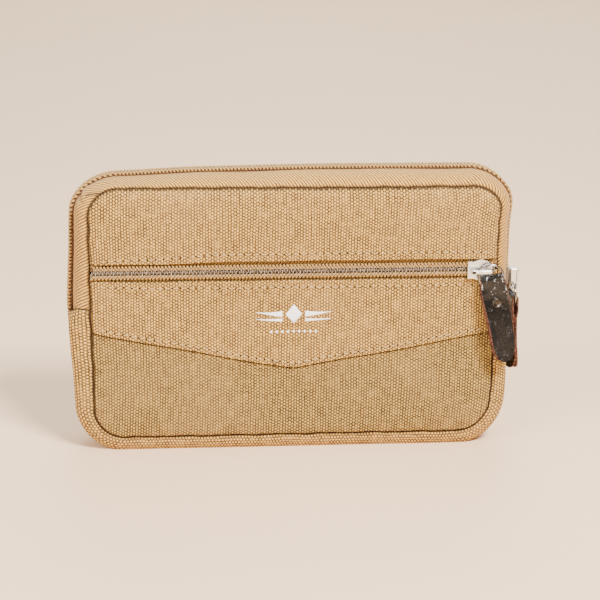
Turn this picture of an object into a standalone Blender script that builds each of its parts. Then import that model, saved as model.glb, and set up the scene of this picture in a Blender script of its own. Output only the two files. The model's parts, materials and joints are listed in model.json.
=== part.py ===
"""Zippered canvas pouch, standing on its base, as an assembly of its sewn and cast pieces.

Frame: metres, +Z up, +X to the wearer's right along the top zip, -Y out of the pocket side.
The origin is the centre of the flat base. The pouch is two puffed canvas faces joined all round
by a side wall: canvas below, the main zip above. The pocket zip crosses the front face. Each zip
has a cast slider, a crown over it, a wire ring under the crown and a riveted leather strap.
"""

import math

import bmesh
import bpy
from mathutils import Matrix, Vector

MM = 0.001
GAP = 0.3 * MM  # clearance that neighbouring solids keep

# Seam outline: the rounded rectangle, seen from the front, where each face meets the side wall.
SEAM_HALF_WIDTH = 85 * MM
SEAM_BOTTOM = 6 * MM
SEAM_TOP = 113.5 * MM
TOP_RADIUS = 12 * MM
BOTTOM_RADIUS = 14 * MM
CORNER_STEPS = 8

# Depth, measured along Y from the middle of the pouch.
SEAM_Y = 12.2 * MM
WALL_EDGE_Y = 11.8 * MM
FACE_Y = 14.9 * MM
POCKET_FACE_Y = 14.1 * MM
FACE_ROLL = 6 * MM  # how far in from the seam a face is still curving
ROLL_STEPS = 4

CANVAS = 1.0 * MM
TAPE = 0.6 * MM
LINING = 0.4 * MM
BACK_FOAM = 1.4 * MM
DIVIDER_FOAM = 1.2 * MM

# Side wall: how far it stands out past the seam outline, and where it turns flat.
WALL_RISE = 6 * MM
TAPE_RISE = 4.6 * MM
WALL_FLAT_Y = 8 * MM
ZIP_END_Z = 59 * MM

# Both zips: a coil on each tape edge, with a slot between them for the slider's post.
CHAIN_HALF = 2.6 * MM
SLOT_HALF = 0.6 * MM
COIL_LOW = GAP
COIL_HIGH = 2.3 * MM

# Pocket zip.
POCKET_ZIP_Z = 78.3 * MM
POCKET_TAPE_Y = 12.6 * MM
POCKET_TAPE_WIDTH = 9.5 * MM
POCKET_TAPE_HALF = 83.4 * MM
WINDOW_HALF = 3.85 * MM
YOKE_END_Z = 51.5 * MM
YOKE_POINT_Z = 36.7 * MM

# Sliders, in the slider's own frame: X along the zip with the nose at +X, Z up from the tape.
SLIDER_HALF = 5.1 * MM
TAIL_HALF_WIDTH = 3.65 * MM
SHOULDER_HALF_WIDTH = 4.55 * MM
NOSE_HALF_WIDTH = 1.2 * MM
FRONT_PLATE = (2.6 * MM, 3.6 * MM)
BACK_PLATE = (-2.0 * MM, -0.9 * MM)
RAIL = (2.9 * MM, 3.55 * MM)
RAIL_END_X = 1.5 * MM
POST_HALF_WIDTH = 0.3 * MM
POST_X = (1.5 * MM, 4.6 * MM)
CROWN_X = (-4.3 * MM, 4.8 * MM)
CROWN_HALF_WIDTH = 0.55 * MM
CROWN_BAR = (6.55 * MM, 7.3 * MM)
CROWN_FOOT = 1.0 * MM

# Ring and strap, in the ring's plane: U across, V up, W out of the pouch.
RING_RADIUS = 5.1 * MM
RING_WIRE = 0.5 * MM
RING_HEIGHT = 5.6 * MM
LEATHER = 0.9 * MM
STRAP_HALF_WIDTH = 5.25 * MM
FOLD_HALF_WIDTH = 4.3 * MM
FOLD_RADIUS = 1.13 * MM  # middle of the leather round the fold
FOLD_V = -0.88 * MM
LEAF_HALF_GAP = 0.6 * MM  # middle of each leather leaf, once they lie together
RIVET_V = -11 * MM
RIVET_RADIUS = 2.1 * MM
RIVET_HEAD = 0.75 * MM
PIN_RADIUS = 0.8 * MM
RIVET_HOLE = 1.1 * MM
POINT_LENGTH = 11 * MM

# Where each slider rests, and how its ring and strap hang from it.
POCKET_SLIDER_X = 77 * MM
MAIN_SLIDER_Z = 70 * MM
POCKET_RING_CENTRE = Vector((4.6 * MM, -2.5 * MM))
POCKET_STRAP_TILT = math.radians(10)
POCKET_STRAP_LENGTH = 38 * MM
MAIN_STRAP_LENGTH = 33 * MM
MAIN_RING_CROSSING_X = 2.1 * MM

FINISHES = {
    "canvas": ((0.50, 0.36, 0.20), 0.92, 0.0),
    "zip_tape": ((0.58, 0.42, 0.24), 0.85, 0.0),
    "coil": ((0.42, 0.30, 0.19), 0.50, 0.0),
    "lining": ((0.36, 0.26, 0.16), 0.80, 0.0),
    "foam": ((0.80, 0.78, 0.70), 0.95, 0.0),
    "binding": ((0.45, 0.32, 0.19), 0.85, 0.0),
    "slider_metal": ((0.86, 0.86, 0.84), 0.28, 1.0),
    "ring_wire": ((0.78, 0.77, 0.74), 0.22, 1.0),
    "leather": ((0.055, 0.043, 0.040), 0.42, 0.0),
    "rivet": ((0.36, 0.31, 0.27), 0.35, 1.0),
}


def clear_scene():
    for obj in list(bpy.data.objects):
        bpy.data.objects.remove(obj)


def finish(name):
    """The Principled material of this name, made on first use."""
    found = bpy.data.materials.get(name)
    if found:
        return found
    colour, roughness, metallic = FINISHES[name]
    made = bpy.data.materials.new(name)
    made.use_nodes = True
    shader = made.node_tree.nodes["Principled BSDF"]
    shader.inputs["Base Color"].default_value = (*colour, 1)
    shader.inputs["Roughness"].default_value = roughness
    shader.inputs["Metallic"].default_value = metallic
    return made


def new_collection(name):
    made = bpy.data.collections.new(name)
    bpy.context.scene.collection.children.link(made)
    return made


def place(name, mesh, material_name, parent=None, smooth=False):
    """A node of the pouch: the mesh as an object, with its finish."""
    obj = bpy.data.objects.new(name, mesh)
    POUCH.objects.link(obj)
    mesh.materials.append(finish(material_name))
    obj.parent = parent
    if smooth:
        mesh.shade_smooth()
        mesh.set_sharp_from_angle(angle=math.radians(35))
    return obj


def place_tool(name, mesh, parent=None):
    """A helper that a Boolean modifier reads, kept out of the render."""
    obj = bpy.data.objects.new(name, mesh)
    TOOLS.objects.link(obj)
    obj.parent = parent
    obj.hide_render = True
    obj.display_type = "WIRE"
    return obj


def combine(obj, tool, operation):
    modifier = obj.modifiers.new(f"{operation.lower()} {tool.name}", "BOOLEAN")
    modifier.operation = operation
    modifier.solver = "EXACT"
    modifier.object = tool


def thicken(obj, thickness, centred=False):
    """Solidify towards the inside of the surface, or equally on both sides of it."""
    modifier = obj.modifiers.new("thickness", "SOLIDIFY")
    modifier.thickness = thickness
    modifier.offset = 0 if centred else -1
    modifier.use_even_offset = True
    modifier.use_quality_normals = True


def round_edges(obj, width, segments=2):
    modifier = obj.modifiers.new("rounded edges", "BEVEL")
    modifier.width = width
    modifier.segments = segments
    modifier.limit_method = "ANGLE"
    modifier.angle_limit = math.radians(40)


def mesh_from(bm, name):
    mesh = bpy.data.meshes.new(name)
    bm.to_mesh(mesh)
    bm.free()
    return mesh


def prism_mesh(name, outline, run):
    """The flat outline, a list of points, carried along the vector run."""
    bm = bmesh.new()
    face = bm.faces.new([bm.verts.new(point) for point in outline])
    grown = bmesh.ops.extrude_face_region(bm, geom=[face])["geom"]
    moved = [item for item in grown if isinstance(item, bmesh.types.BMVert)]
    bmesh.ops.translate(bm, verts=moved, vec=run)
    bmesh.ops.recalc_face_normals(bm, faces=bm.faces)
    return mesh_from(bm, name)


def box_mesh(name, low, high):
    bm = bmesh.new()
    size = Vector(high) - Vector(low)
    middle = (Vector(high) + Vector(low)) / 2
    bmesh.ops.create_cube(bm, size=1, matrix=Matrix.Translation(middle) @ Matrix.Diagonal((*size, 1)))
    return mesh_from(bm, name)


def cylinder_mesh(name, radius, low, high, centre=(0, 0), top_radius=None, segments=20):
    """A cylinder along the local Z axis, or a cone frustum when top_radius is given."""
    bm = bmesh.new()
    middle = Matrix.Translation((centre[0], centre[1], (low + high) / 2))
    bmesh.ops.create_cone(
        bm,
        cap_ends=True,
        segments=segments,
        radius1=radius,
        radius2=radius if top_radius is None else top_radius,
        depth=high - low,
        matrix=middle,
    )
    return mesh_from(bm, name)


def strip_mesh(name, rows, closed=False):
    """An open surface through rows of points; closed joins the last row to the first."""
    bm = bmesh.new()
    grid = [[bm.verts.new(point) for point in row] for row in rows]
    pairs = list(zip(grid, grid[1:])) + ([(grid[-1], grid[0])] if closed else [])
    for here, after in pairs:
        for k in range(len(here) - 1):
            bm.faces.new((here[k], here[k + 1], after[k + 1], after[k]))
    return mesh_from(bm, name)


def corner_arc(centre_x, centre_z, radius, start_degrees):
    """(point, outward normal) pairs round a quarter circle, anticlockwise from the front."""
    pairs = []
    for step in range(CORNER_STEPS + 1):
        angle = math.radians(start_degrees + 90 * step / CORNER_STEPS)
        normal = Vector((math.cos(angle), math.sin(angle)))
        pairs.append((Vector((centre_x, centre_z)) + radius * normal, normal))
    return pairs


def corners(inset=0, top=SEAM_TOP, top_radius=TOP_RADIUS):
    """The four corners of the seam outline moved in by inset: top right first, anticlockwise."""
    upper, lower = max(top_radius - inset, GAP), BOTTOM_RADIUS - inset
    side, high, low = SEAM_HALF_WIDTH - inset, top - inset, SEAM_BOTTOM + inset
    return (
        corner_arc(side - upper, high - upper, upper, 0),
        corner_arc(upper - side, high - upper, upper, 90),
        corner_arc(lower - side, low + lower, lower, 180),
        corner_arc(side - lower, low + lower, lower, 270),
    )


def outline(y, **shape):
    return [(p.x, y, p.y) for corner in corners(**shape) for p, _ in corner]


def upper_route():
    """Side wall route of the main zip, from its right end over the top to its left end."""
    right, left = corners()[:2]
    first = (Vector((SEAM_HALF_WIDTH, ZIP_END_Z)), Vector((1, 0)))
    last = (Vector((-SEAM_HALF_WIDTH, ZIP_END_Z)), Vector((-1, 0)))
    return [first, *right, *left, last]


def lower_route(below):
    """Side wall route of the canvas, from its left end under the base to its right end."""
    left, right = corners()[2:]
    first = (Vector((-SEAM_HALF_WIDTH, ZIP_END_Z - below)), Vector((-1, 0)))
    last = (Vector((SEAM_HALF_WIDTH, ZIP_END_Z - below)), Vector((1, 0)))
    return [first, *left, *right, last]


def band(name, material_name, route, profile, thickness, closed=False):
    """A wall: the profile's (y, height over the seam outline) points carried along the route."""
    rows = [[(*(p + n * rise), y) for y, rise in profile] for p, n in route]
    rows = [[(x, y, z) for x, z, y in row] for row in rows]
    obj = place(name, strip_mesh(name, rows, closed), material_name)
    thicken(obj, thickness)
    return obj


def wall_profile(rise, inner_y):
    """Half of the side wall's section: up from the seam in a quarter ellipse, then flat."""
    steps = 5
    curve = []
    for step in range(steps + 1):
        angle = math.pi / 2 * step / steps
        y = WALL_FLAT_Y + (WALL_EDGE_Y - WALL_FLAT_Y) * math.cos(angle)
        curve.append((-y, rise * math.sin(angle)))
    return [*curve, (inner_y, rise)]


def mirrored(profile):
    return [(-y, rise) for y, rise in reversed(profile)]


def puffed_face(name, material_name, side, edge_y, face_y, thickness, inset=0, roll=FACE_ROLL):
    """A sewn face: flat in the middle, rolling over to the seam all round its edge."""
    bm = bmesh.new()
    points = outline(side * edge_y, inset=inset)
    face = bm.faces.new([bm.verts.new(p) for p in (points if side < 0 else points[::-1])])
    bm.normal_update()
    if face.normal.y * side < 0:
        face.normal_flip()
    reach, depth = 0, 0
    for step in range(1, ROLL_STEPS + 1):
        angle = math.pi / 2 * step / ROLL_STEPS
        new_reach = roll * (1 - math.cos(angle))
        new_depth = (face_y - edge_y) * math.sin(angle)
        bmesh.ops.inset_region(
            bm,
            faces=[face],
            thickness=new_reach - reach,
            depth=new_depth - depth,
            use_even_offset=True,
        )
        reach, depth = new_reach, new_depth
    obj = place(name, mesh_from(bm, name), material_name, smooth=True)
    thicken(obj, thickness)
    return obj


def flat_sheet(name, material_name, outer_y, inner_y, **shape):
    """A flat layer of lining or foam between two depths."""
    mesh = prism_mesh(name, outline(outer_y, **shape), (0, inner_y - outer_y, 0))
    return place(name, mesh, material_name)


def face_window(name, points):
    """A tool that keeps the part of a face inside these (x, z) points."""
    reach = 2 * FACE_Y
    return place_tool(name, prism_mesh(name, [(x, -reach, z) for x, z in points], (0, reach, 0)))


def front_faces():
    """Upper panel, pointed yoke and pocket panel, cut from puffed faces."""
    far, over = SEAM_HALF_WIDTH + WALL_RISE, SEAM_TOP + WALL_RISE
    above, below = POCKET_ZIP_Z + WINDOW_HALF, POCKET_ZIP_Z - WINDOW_HALF
    upper = puffed_face("front_upper_panel", "canvas", -1, SEAM_Y, FACE_Y, CANVAS)
    combine(
        upper,
        face_window("above_zip", [(-far, above), (far, above), (far, over), (-far, over)]),
        "INTERSECT",
    )
    yoke = puffed_face("front_yoke", "canvas", -1, SEAM_Y, FACE_Y, CANVAS)
    point = [(-far, YOKE_END_Z), (0, YOKE_POINT_Z), (far, YOKE_END_Z)]
    combine(yoke, face_window("yoke_shape", [*point, (far, below), (-far, below)]), "INTERSECT")
    pocket = puffed_face("front_pocket_panel", "canvas", -1, SEAM_Y, POCKET_FACE_Y, CANVAS)
    lowered = [(x, z - GAP) for x, z in point]
    base = [(far, -WALL_RISE), (-far, -WALL_RISE)]
    combine(pocket, face_window("below_yoke", [*lowered, *base]), "INTERSECT")


def side_wall():
    """Canvas wall below, main zip tapes and coils above."""
    half = wall_profile(WALL_RISE, -WALL_FLAT_Y)[:-1]
    band("lower_gusset", "canvas", lower_route(GAP), half + mirrored(half), CANVAS)
    lining_rise = WALL_RISE - CANVAS - GAP
    lining = [(-WALL_FLAT_Y, lining_rise), (WALL_FLAT_Y, lining_rise)]
    band("gusset_lining", "lining", lower_route(2 * GAP), lining, LINING)
    tape = wall_profile(TAPE_RISE, -SLOT_HALF)
    coil = [(-CHAIN_HALF, TAPE_RISE + COIL_HIGH), (-SLOT_HALF, TAPE_RISE + COIL_HIGH)]
    for side, make in (("front", list), ("back", mirrored)):
        band(f"main_zip_{side}_tape", "zip_tape", upper_route(), make(tape), TAPE)
        row = band(
            f"main_zip_{side}_coil", "coil", upper_route(), make(coil), COIL_HIGH - COIL_LOW
        )
        round_edges(row, 0.5 * MM)


def pocket_zip():
    """Tapes and coils behind the window in the front face."""
    for side, sign in (("upper", 1), ("lower", -1)):
        near, far = SLOT_HALF, POCKET_TAPE_WIDTH
        low, high = sorted(POCKET_ZIP_Z + sign * reach for reach in (near, far))
        tape = f"pocket_zip_{side}_tape"
        corner = (-POCKET_TAPE_HALF, -POCKET_TAPE_Y, low)
        opposite = (POCKET_TAPE_HALF, -POCKET_TAPE_Y + TAPE, high)
        place(tape, box_mesh(tape, corner, opposite), "zip_tape")
        low, high = sorted(POCKET_ZIP_Z + sign * reach for reach in (SLOT_HALF, CHAIN_HALF))
        coil = f"pocket_zip_{side}_coil"
        corner = (-POCKET_TAPE_HALF, -POCKET_TAPE_Y - COIL_HIGH, low)
        opposite = (POCKET_TAPE_HALF, -POCKET_TAPE_Y - COIL_LOW, high)
        round_edges(place(coil, box_mesh(coil, corner, opposite), "coil"), 0.5 * MM)


def inner_layers():
    """Linings, foam and the tape that binds each seam on the inside."""
    foam_y = FACE_Y - CANVAS - GAP - 0.1 * MM
    lining_y = foam_y - BACK_FOAM - GAP
    flat_sheet("back_padding", "foam", foam_y, foam_y - BACK_FOAM, inset=5 * MM)
    flat_sheet("back_lining", "lining", lining_y, lining_y - LINING, inset=2.4 * MM)
    pocket_y = -(POCKET_FACE_Y - CANVAS - GAP - 0.05 * MM)
    flat_sheet(
        "pocket_front_lining",
        "lining",
        pocket_y,
        pocket_y + LINING,
        inset=5 * MM,
        top=POCKET_ZIP_Z - POCKET_TAPE_WIDTH + 4 * MM,
        top_radius=6 * MM,
    )
    divider_y = 5.8 * MM
    puffed_face(
        "pocket_divider", "lining", -1, 8.2 * MM, divider_y, LINING, inset=2.4 * MM, roll=12 * MM
    )
    foam_y = -divider_y + LINING + GAP
    flat_sheet("divider_padding", "foam", foam_y, foam_y + DIVIDER_FOAM, inset=14 * MM)
    lining_y = foam_y + DIVIDER_FOAM + GAP
    flat_sheet("divider_lining", "lining", lining_y, lining_y + LINING, inset=2.4 * MM)
    whole = [pair for corner in corners() for pair in corner]
    outer, deep, shallow = -0.6 * MM, 10.9 * MM, 8.4 * MM
    for side, ends in (("front", (-deep, -shallow)), ("back", (shallow, deep))):
        profile = [(y, outer) for y in ends]
        band(f"{side}_seam_binding", "binding", whole, profile, 1.3 * MM, closed=True)


def slider_outline(shrink=0.0):
    """Square tail, rounded shoulders narrowing in a quarter ellipse to the nose."""
    steps = 8
    side = [(-SLIDER_HALF + shrink, TAIL_HALF_WIDTH), (-2.6 * MM, TAIL_HALF_WIDTH)]
    for step in range(steps + 1):
        angle = math.radians(65 - 65 * step / steps)
        across = NOSE_HALF_WIDTH + (SHOULDER_HALF_WIDTH - NOSE_HALF_WIDTH) * math.sin(
            math.pi / 2 * angle / math.radians(65)
        )
        side.append((SLIDER_HALF * math.cos(math.pi / 2 * (1 - step / steps)) - shrink, across))
    return side + [(x, -y) for x, y in reversed(side)]


def slider_body(name, carriage):
    """Front and back plates with side rails, joined by the wedge-shaped post at the nose."""
    plates = []
    for plate, (low, high) in (("front", FRONT_PLATE), ("back", BACK_PLATE)):
        points = [(x, y, low) for x, y in slider_outline()]
        plates.append((f"{name}_{plate}", prism_mesh(name, points, (0, 0, high - low))))
    body = place(name, plates[0][1], "slider_metal", carriage, smooth=True)
    post = [(POST_X[0], -POST_HALF_WIDTH), (POST_X[1], -POST_HALF_WIDTH)]
    post += [(x, -y) for x, y in reversed(post)]
    low, high = BACK_PLATE[0] + 0.4 * MM, FRONT_PLATE[1] - 0.4 * MM
    post_mesh = prism_mesh("post", [(x, y, low) for x, y in post], (0, 0, high - low))
    combine(body, place_tool(f"{name}_post", post_mesh, carriage), "UNION")
    combine(body, place_tool(*plates[1], carriage), "UNION")
    front_rail = (GAP, FRONT_PLATE[0] + 0.4 * MM)
    back_rail = (BACK_PLATE[1] - 0.4 * MM, -TAPE - 0.15 * MM)
    for sign in (1, -1):
        across = sorted((sign * RAIL[0], sign * RAIL[1]))
        for where, (low, high) in (("front", front_rail), ("back", back_rail)):
            corner = (-SLIDER_HALF + 0.2 * MM, across[0], low)
            opposite = (RAIL_END_X, across[1], high)
            rail = place_tool(f"{name}_{where}_rail{sign}", box_mesh("rail", corner, opposite), carriage)
            combine(body, rail, "UNION")
    return body


def slider_crown(name, carriage):
    """The bail over the front plate: a bar along the zip with a foot at each end."""
    (tail, nose), (low, high) = CROWN_X, CROWN_BAR
    foot = FRONT_PLATE[1] + GAP
    side = [
        (tail, foot),
        (tail, high - 0.5 * MM),
        (tail + 0.6 * MM, high),
        (nose - 0.6 * MM, high),
        (nose, high - 0.5 * MM),
        (nose, foot),
        (nose - CROWN_FOOT, foot),
        (nose - CROWN_FOOT, low),
        (tail + CROWN_FOOT, low),
        (tail + CROWN_FOOT, foot),
    ]
    points = [(x, -CROWN_HALF_WIDTH, z) for x, z in side]
    mesh = prism_mesh(name, points, (0, 2 * CROWN_HALF_WIDTH, 0))
    return place(name, mesh, "slider_metal", carriage)


def pull_ring(name, pivot, centre):
    """The wire ring, in its pivot's XY plane."""
    bpy.ops.mesh.primitive_torus_add(
        major_radius=RING_RADIUS,
        minor_radius=RING_WIRE,
        major_segments=32,
        minor_segments=8,
        location=(0, 0, 0),
    )
    made = bpy.context.object
    mesh = made.data
    bpy.data.objects.remove(made)
    mesh.transform(Matrix.Translation((*centre, 0)))
    return place(name, mesh, "ring_wire", pivot, smooth=True)


def strap_half_width(v, tip_v):
    """Narrow where it passes through the ring, full below, and a blunt point at the tip."""
    widen = min(1, max(0, (FOLD_V - v) / (4 * MM)))
    width = FOLD_HALF_WIDTH + (STRAP_HALF_WIDTH - FOLD_HALF_WIDTH) * widen
    along_point = min(1, max(0, 1 - (v - tip_v) / POINT_LENGTH))
    return width * math.sqrt(1 - 0.985 * along_point**2.4)


def leaf_offset(v):
    """Half the distance between the leaves: apart over the ring, together below it."""
    ring_foot, together = -RING_RADIUS - 0.9 * MM, -9.2 * MM
    share = min(1, max(0, (v - together) / (ring_foot - together)))
    smooth = share * share * (3 - 2 * share)
    return LEAF_HALF_GAP + (FOLD_RADIUS - LEAF_HALF_GAP) * smooth


def pull_strap(name, pivot, length):
    """One leather strip folded over the ring: front leaf up, round the fold, back leaf down."""
    tip_v = FOLD_V + FOLD_RADIUS + LEATHER / 2 - length
    heights = [FOLD_V, -3 * MM, -5 * MM, -6.2 * MM, -7.2 * MM, -8.2 * MM, -9.2 * MM, RIVET_V]
    heights += [tip_v + POINT_LENGTH * share for share in (1, 0.7, 0.45, 0.25, 0.12, 0.04, 0)]
    leaf = [(v, leaf_offset(v)) for v in heights]
    fold = []
    for step in range(1, 8):
        angle = math.pi * step / 8
        fold.append((FOLD_V + FOLD_RADIUS * math.sin(angle), FOLD_RADIUS * math.cos(angle)))
    path = leaf[::-1] + fold + [(v, -w) for v, w in leaf]
    rows = []
    for v, w in path:
        half = strap_half_width(v, tip_v)
        rows.append([(-half, v, w), (half, v, w)])
    strap = place(name, strip_mesh(name, rows), "leather", pivot, smooth=True)
    thicken(strap, LEATHER, centred=True)
    reach = 2 * FOLD_RADIUS
    hole = cylinder_mesh("hole", RIVET_HOLE, -reach, reach, (0, RIVET_V))
    combine(strap, place_tool(f"{name}_hole", hole, pivot), "DIFFERENCE")
    return strap


def rivet(name, pivot):
    """A two-part rivet through both leaves: a domed cap in front, a headed pin from behind."""
    face = LEAF_HALF_GAP + LEATHER / 2 + GAP
    cap = cylinder_mesh(
        "cap", RIVET_RADIUS, face, face + RIVET_HEAD, (0, RIVET_V), top_radius=0.6 * RIVET_RADIUS
    )
    place(f"{name}_cap", cap, "rivet", pivot, smooth=True)
    head = cylinder_mesh("head", RIVET_RADIUS, -face - RIVET_HEAD, -face, (0, RIVET_V))
    post = place(f"{name}_post", head, "rivet", pivot, smooth=True)
    pin = cylinder_mesh("pin", PIN_RADIUS, -face - RIVET_HEAD / 2, face - GAP, (0, RIVET_V))
    combine(post, place_tool(f"{name}_pin", pin, pivot), "UNION")


def pivot_empty(name, parent, location, turn=0.0):
    """An empty on a joint's axis, turned about its parent's Z axis."""
    obj = bpy.data.objects.new(name, None)
    obj.empty_display_size = 3 * MM
    POUCH.objects.link(obj)
    obj.parent = parent
    obj.location = location
    obj.rotation_euler = (0, 0, turn)
    return obj


def zip_pull(name, carriage, crossing, turn, centre, tilt, strap_length):
    """Everything that one slider carries. crossing is where the ring passes under the crown."""
    slider_body(f"{name}_slider_body", carriage)
    slider_crown(f"{name}_slider_crown", carriage)
    ring_pivot = pivot_empty(f"{name}_ring_pivot", carriage, (*crossing, RING_HEIGHT), turn)
    pull_ring(f"{name}_pull_ring", ring_pivot, centre)
    strap_pivot = pivot_empty(f"{name}_strap_pivot", ring_pivot, (*centre, 0), tilt)
    pull_strap(f"{name}_pull_strap", strap_pivot, strap_length)
    rivet(f"{name}_rivet", strap_pivot)


def sliders():
    """Pocket slider with its nose to the right; main slider on the right side, nose down."""
    pocket = pivot_empty("pocket_carriage", None, (POCKET_SLIDER_X, -POCKET_TAPE_Y, POCKET_ZIP_Z))
    pocket.rotation_euler = (math.pi / 2, 0, 0)
    chord = math.sqrt(RING_RADIUS**2 - POCKET_RING_CENTRE.y**2)
    crossing = Vector((POCKET_RING_CENTRE.x - chord, 0))
    zip_pull(
        "pocket",
        pocket,
        crossing,
        0,
        POCKET_RING_CENTRE - crossing,
        POCKET_STRAP_TILT,
        POCKET_STRAP_LENGTH,
    )
    main = pivot_empty("main_carriage", None, (SEAM_HALF_WIDTH + TAPE_RISE, 0, MAIN_SLIDER_Z))
    main.rotation_euler = (0, math.pi / 2, 0)
    zip_pull(
        "main",
        main,
        Vector((MAIN_RING_CROSSING_X, 0)),
        math.pi / 2,
        Vector((0, -RING_RADIUS)),
        0,
        MAIN_STRAP_LENGTH,
    )


clear_scene()
POUCH = new_collection("zippered_pouch")
TOOLS = new_collection("tools")
front_faces()
puffed_face("back_panel", "canvas", 1, SEAM_Y, FACE_Y, CANVAS)
side_wall()
pocket_zip()
inner_layers()
sliders()
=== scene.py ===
"""Looks for the zippered canvas pouch: cloth, tape, coil, thread, nickel, leather and print.

Lengths inside this file are millimetres and turn into metres when a piece's mesh is made.
X runs along the zips, -Y out of the pocket side, Z up. A zip's own coordinates are its
length s, the distance b across the chain and the height c above the tape.
"""

import json
import math

import bmesh
import bpy
import numpy as np
from mathutils import Matrix, Vector


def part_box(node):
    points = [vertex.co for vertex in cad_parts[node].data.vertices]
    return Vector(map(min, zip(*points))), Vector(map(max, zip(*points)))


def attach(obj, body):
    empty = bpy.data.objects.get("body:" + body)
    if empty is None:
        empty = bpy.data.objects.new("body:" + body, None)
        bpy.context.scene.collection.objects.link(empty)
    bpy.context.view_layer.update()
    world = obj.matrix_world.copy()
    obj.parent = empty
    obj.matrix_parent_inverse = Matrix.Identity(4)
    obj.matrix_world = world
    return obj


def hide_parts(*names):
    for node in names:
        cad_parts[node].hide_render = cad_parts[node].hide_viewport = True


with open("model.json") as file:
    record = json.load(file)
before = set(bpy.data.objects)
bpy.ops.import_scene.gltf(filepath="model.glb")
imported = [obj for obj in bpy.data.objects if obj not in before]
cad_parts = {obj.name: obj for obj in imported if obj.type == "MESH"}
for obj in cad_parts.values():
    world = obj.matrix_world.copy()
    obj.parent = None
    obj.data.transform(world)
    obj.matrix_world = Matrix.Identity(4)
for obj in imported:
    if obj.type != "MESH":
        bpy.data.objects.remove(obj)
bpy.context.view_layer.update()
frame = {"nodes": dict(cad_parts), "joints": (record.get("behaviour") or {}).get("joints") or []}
MM = 0.001
TURN = 2 * math.pi


def node_box(name):
    low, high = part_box(name)
    return np.array(low) / MM, np.array(high) / MM


FACE_LOW, FACE_HIGH = node_box("back_panel")
HALF = FACE_HIGH[0]
BOTTOM, TOP = FACE_LOW[2], FACE_HIGH[2]
TOP_RADIUS, BOTTOM_RADIUS = 12.0, 14.0
FACE_Y = FACE_HIGH[1]
POCKET_FACE_Y = FACE_Y - 0.8
SEAM_Y, WALL_EDGE_Y = 12.2, 11.8
FACE_ROLL = 6.0
WALL_RISE = node_box("lower_gusset")[1][0] - HALF
TAPE_RISE = node_box("main_zip_front_tape")[1][0] - HALF
WALL_FLAT, TAPE_FLAT = 8.0, 4.2
GUSSET_THICK, TAPE_THICK = 0.9, 0.55
HEM_Z = node_box("main_zip_front_tape")[0][2]
POCKET_ZIP_Z = (node_box("pocket_zip_upper_tape")[0][2] + node_box("pocket_zip_lower_tape")[1][2]) / 2
POCKET_TAPE_Y = -node_box("pocket_zip_upper_tape")[0][1]
WINDOW = node_box("front_upper_panel")[0][2] - POCKET_ZIP_Z
YOKE_POINT = node_box("front_yoke")[0][2]
YOKE_END = YOKE_POINT + 14.8
JOINTS = {joint["name"]: joint for joint in frame["joints"]}
TOOTH_PITCH = 1.48


# Shader writing.


class Value:
    """A number that varies over the surface. Arithmetic on it adds Math nodes."""

    def __init__(self, finish, socket):
        self.finish = finish
        self.socket = socket

    def math(self, operation, *others):
        inputs = dict(enumerate((self, *others)))
        made = self.finish.node("ShaderNodeMath", {"operation": operation}, inputs)
        return Value(self.finish, made.outputs[0])

    def __add__(self, other):
        return self.math("ADD", other)

    def __sub__(self, other):
        return self.math("SUBTRACT", other)

    def __rsub__(self, other):
        return self.math("MULTIPLY_ADD", -1.0, other)

    def __mul__(self, other):
        return self.math("MULTIPLY", other)

    __radd__ = __add__
    __rmul__ = __mul__

    def wave(self):
        """Cosine of this number of whole turns."""
        return (self * TURN).math("COSINE")

    def step(self, low, high):
        """0 below low, 1 above high, a smooth ramp between."""
        sockets = {"Value": self, "From Min": low, "From Max": high}
        smooth = {"interpolation_type": "SMOOTHSTEP"}
        made = self.finish.node("ShaderNodeMapRange", smooth, sockets)
        return Value(self.finish, made.outputs["Result"])


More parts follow.
